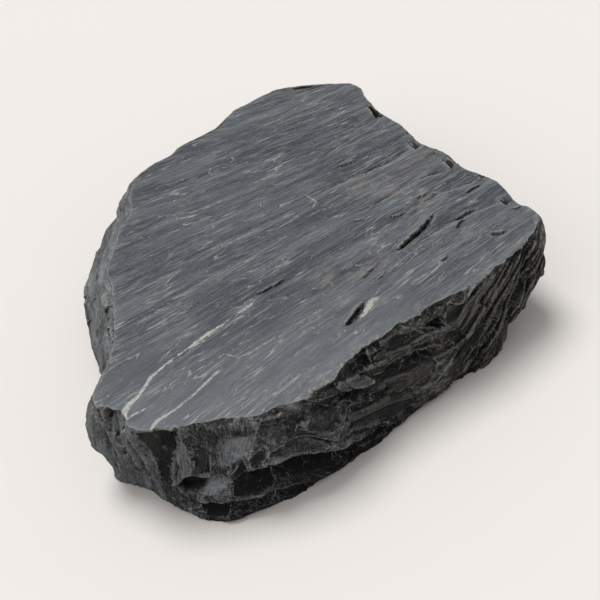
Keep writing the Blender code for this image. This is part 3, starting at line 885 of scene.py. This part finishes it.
def wall_tone(n, left):
    """How pale the broken rock is at each point, from about -1.2 to 1.9, with painted light on faces that
    look up and on the left side, and painted shade on faces that look down.
    """
    upright = n.highest(left, n.times(n.calm, n.fade(n.x, -30.0, -60.0)))
    layers = n.noise(n.bed, (26, 26, 1.9), 4, 0.6, 0.4)
    flutes = n.noise(n.place, (2.4, 2.4, 26), 3, 0.6, 0.3)
    lines_along = n.noise(n.bed, (12, 12, 0.9), 3, 0.6, 0.4, (5, 5, 1))
    lines_up = n.noise(n.place, (1.0, 1.0, 12), 3, 0.6, 0.4, (5, 5, 1))
    rough = n.fade(n.calm, 0.2, 1.0, 3.4, 1.4)
    blotch = n.fade(n.noise(n.place, (30, 30, 18), 4, 0.55, 0.3), 0.3, 0.7)
    chip_tone = n.add("ShaderNodeSeparateXYZ", {0: n.chips["Color"]}).outputs[0]
    tone = n.scaled_sum(blotch, 0.4, n.attribute("tone"))
    # Painted light and shade: faces that look up are paler, faces that look down darker.
    tone = n.scaled_sum(n.attribute("lean"), 0.6, tone)
    tone = n.sway(tone, n.between(layers, flutes, upright), n.fade(n.calm, 0.2, 1.0, 3.0, 1.6))
    tone = n.calc("SUBTRACT", tone, n.fade(n.x, -70.0, -20.0, 0.0, 0.62))
    tone = n.sway(tone, n.grit, rough)
    tone = n.sway(tone, n.between(lines_along, lines_up, upright), n.fade(upright, 0.0, 1.0, 2.2, 3.6))
    tone = n.sway(tone, chip_tone, n.times(rough, 0.2))
    # Painted light: the left side of the walls is paler, where the key light falls.
    painted_side_light = n.fade(n.scaled_sum(n.y, -0.8, n.x), -75.0, -125.0)
    return n.between(tone, 1.75, n.times(painted_side_light, 0.5))


def broken_wall(n):
    """Dark rock in its tones, with webs of fine cracks, scratches and fibres, and painted shade in concave
    creases.
    """
    left = n.fade(n.scaled_sum(n.y, 0.3, n.x), -105.0, -145.0)
    tone = n.fade(wall_tone(n, left), -1.2, 1.9, kind="LINEAR")
    shades = n.add("ShaderNodeValToRGB", {"Fac": tone})
    stops = shades.color_ramp.elements
    for position, _ in WALL_SHADES[1:-1]:
        stops.new(position)
    for stop, (_, shade) in zip(stops, WALL_SHADES):
        stop.color = (*shade, 1.0)
    webs = n.times(n.web(n.bed, 12.0, 0.022), n.patches(16, (4, 4, 4), 0.50, 0.64), 0.7)
    wall = n.tint(webs, shades.outputs["Color"], WEB_QUARTZ)
    wall = n.tint(n.times(n.crazed, 0.6), wall, WEB_QUARTZ)
    slant = n.add("ShaderNodeMapping", {0: n.place, "Rotation": (0.0, math.radians(-38.0), 0.0)})
    scratch = n.noise(slant.outputs[0], (34, 34, 2.2), 3, 0.5, 0.5, (6, 2, 5))
    scratch = n.times(n.crossing(scratch, 0.014, 0.004), n.patches(17, (3, 6, 9), 0.50, 0.62))
    steeper = {0: n.place, "Axis": (*TOWARD, 0.0), "Angle": math.radians(-17.0)}
    fibres = n.add("ShaderNodeVectorRotate", steeper).outputs[0]
    fibres = n.noise(fibres, (2.8, 2.8, 30), 4, 0.62, 0.5, (2, 7, 3))
    scratch = n.highest(scratch, n.times(n.crossing(fibres, 0.022, 0.004), left))
    wall = n.tint(n.times(scratch, n.fade(n.calm, 0.6, 0.0), 0.45), wall, SCRATCH)
    # Painted shade: concave creases are darkened to near black.
    wall = n.tint(n.fade(n.arris, -0.05, -0.26, 0.0, 0.85), wall, PAINTED_CREASE_SHADE)
    wall = n.tint(n.fade(n.x, 20.0, -90.0), wall, (0.96, 1.0, 1.05), "MULTIPLY")
    return n.tint(n.fade(n.x, 40.0, 110.0), wall, (1.32, 1.27, 1.17), "MULTIPLY")


def wear_and_painted_shade(n, colour):
    """Paler worn arrises and seams, less so low on the walls, and painted shade where the stone occludes
    itself.
    """
    open_wall = n.fade(n.z, 10.0, 46.0, 0.3)
    broken = n.fade(n.grit, 0.38, 0.58, 0.25)
    border = n.times(n.top, n.calc("SUBTRACT", 1.0, n.top), 4.0)
    worn = n.highest(n.fade(n.arris, 0.07, 0.26), n.fade(border, 0.2, 0.8))
    colour = n.tint(n.times(worn, broken, 0.85, open_wall), colour, WORN)
    # Painted shade: near black where the stone's own occlusion shelters a point.
    colour = n.tint(n.fade(n.attribute("occlusion"), 0.15, 0.7, 0.0, 0.92), colour, PAINTED_OCCLUSION_SHADE)
    seams = n.fade(n.calc("ADD", n.attribute("seam"), n.frayed), 0.75, 0.15)
    seams = n.times(seams, n.patches(11, (9, 1, 2), 0.42, 0.58), broken, 0.8, open_wall)
    return n.tint(seams, colour, SEAM)


def quartz(n, colour):
    """White quartz: threads in the walls' cracks and broken veins in the top."""
    waver = n.noise(n.place, (4, 4, 4), 3, 0.65)
    thread = n.sway(n.calc("ADD", n.frayed, n.attribute("thread_edge")), waver, 2.4)
    thread = n.times(n.fade(thread, 0.0, -0.6), n.attribute("thread_share"), 0.8)
    colour = n.tint(thread, colour, THREAD_QUARTZ)
    edge = n.calc("ADD", n.sway(n.attribute("vein_edge"), waver, 2.2), n.frayed)
    whole = n.fade(n.noise(n.grain, (6, 0.7, 0), 3, 0.65, 0.3, (2, 6, 0)), 0.38, 0.54, 0.45)
    vein = n.times(n.fade(edge, 0.0, -0.7), whole, n.attribute("vein_share"), n.top)
    return n.tint(vein, colour, VEIN_QUARTZ)


def relief(n):
    """The finest grain, too small for the mesh."""
    silky = n.times(n.scaled_sum(n.streaks, 0.5, n.speck), n.top)
    chipped = n.scaled_sum(n.grit, 1.6, n.chips["Distance"])
    height = n.scaled_sum(chipped, n.calc("SUBTRACT", 1.0, n.top), silky)
    inputs = {"Height": height, "Strength": 0.7, "Distance": 0.8 / METRE}
    return n.add("ShaderNodeBump", inputs).outputs["Normal"]


def slate_finish():
    """Silky blue-grey cleavage on top, dark broken rock on the walls, with worn pale arrises."""
    material = bpy.data.materials.new("slate")
    n = SlateNodes(material)
    colour = n.tint(n.top, broken_wall(n), split_top(n))
    inputs = n.shader.inputs
    n.feed(inputs["Base Color"], quartz(n, wear_and_painted_shade(n, colour)))
    n.feed(inputs["Roughness"], n.fade(n.top, 0.0, 1.0, 0.72, 0.5))
    n.feed(inputs["Normal"], relief(n))
    n.feed(inputs["Specular IOR Level"], 0.2)
    return material


stone = shape_stone()
stone.data.materials.clear()
stone.data.materials.append(slate_finish())
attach(stone, "root")
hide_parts("slate_slab")


# ---------------------------------------------------------------- studio

# The camera looks at AIM from this azimuth, height and distance (metres), through this lens (mm).
AIM = Vector((0.0103, -0.0253, 0.045))
VIEW_AZIMUTH, VIEW_HEIGHT, VIEW_DISTANCE = -44.0, 45.0, 1.16706
LENS = 100.0
FLOOR_HALF = 4.0                        # metres
FLOOR_COLOUR = (0.80, 0.765, 0.735)
FLOOR_BOUNCE = (0.42, 0.40, 0.385)      # dimmer, so that the stone's foot stays dark
WORLD_COLOUR, WORLD_STRENGTH = (1, 0.995, 0.99, 1), 0.385

# Soft lights that reach everywhere alike: name, azimuth and height in degrees, energy, and softness in
# degrees.
LIGHTS = (("key light", 199, 71, 2.02, 26), ("left light", -96, 40, 0.62, 50))


def direction(azimuth, height):
    """The way from the stone to something at this azimuth and height, in degrees; 0 is towards -Y."""
    azimuth, height = math.radians(azimuth), math.radians(height)
    return Vector((math.sin(azimuth) * math.cos(height), -math.cos(azimuth) * math.cos(height),
                   math.sin(height)))


def place_in_scene(name, data, toward):
    """A new object that looks back along the given way."""
    made = bpy.data.objects.new(name, data)
    made.rotation_euler = toward.to_track_quat("Z", "Y").to_euler()
    bpy.context.scene.collection.objects.link(made)
    return made


def add_camera():
    toward = direction(VIEW_AZIMUTH, VIEW_HEIGHT)
    camera = place_in_scene("camera", bpy.data.cameras.new("camera"), toward)
    camera.location = AIM + VIEW_DISTANCE * toward
    camera.data.lens = LENS
    bpy.context.scene.camera = camera


def add_floor():
    shape = bmesh.new()
    bmesh.ops.create_grid(shape, x_segments=1, y_segments=1, size=FLOOR_HALF)
    mesh = bpy.data.meshes.new("floor")
    shape.to_mesh(mesh)
    shape.free()
    floor = bpy.data.objects.new("floor", mesh)
    bpy.context.scene.collection.objects.link(floor)
    pale = bpy.data.materials.new("pale floor")
    nodes = Nodes(pale)
    seen = nodes.add("ShaderNodeLightPath").outputs["Is Camera Ray"]
    inputs = nodes.shader.inputs
    nodes.feed(inputs["Base Color"], nodes.tint(seen, FLOOR_BOUNCE, FLOOR_COLOUR))
    nodes.feed(inputs["Roughness"], 0.9)
    nodes.feed(inputs["Specular IOR Level"], 0.1)
    mesh.materials.append(pale)


def add_light():
    for name, azimuth, height, energy, softness in LIGHTS:
        data = bpy.data.lights.new(name, "SUN")
        data.energy, data.angle = energy, math.radians(softness)
        place_in_scene(name, data, direction(azimuth, height))
    world = bpy.data.worlds.new("studio")
    world.use_nodes = True
    background = world.node_tree.nodes["Background"].inputs
    background["Color"].default_value, background["Strength"].default_value = WORLD_COLOUR, WORLD_STRENGTH
    bpy.context.scene.world = world


add_camera()
add_floor()
add_light()
bpy.context.scene.view_settings.view_transform = "Standard"
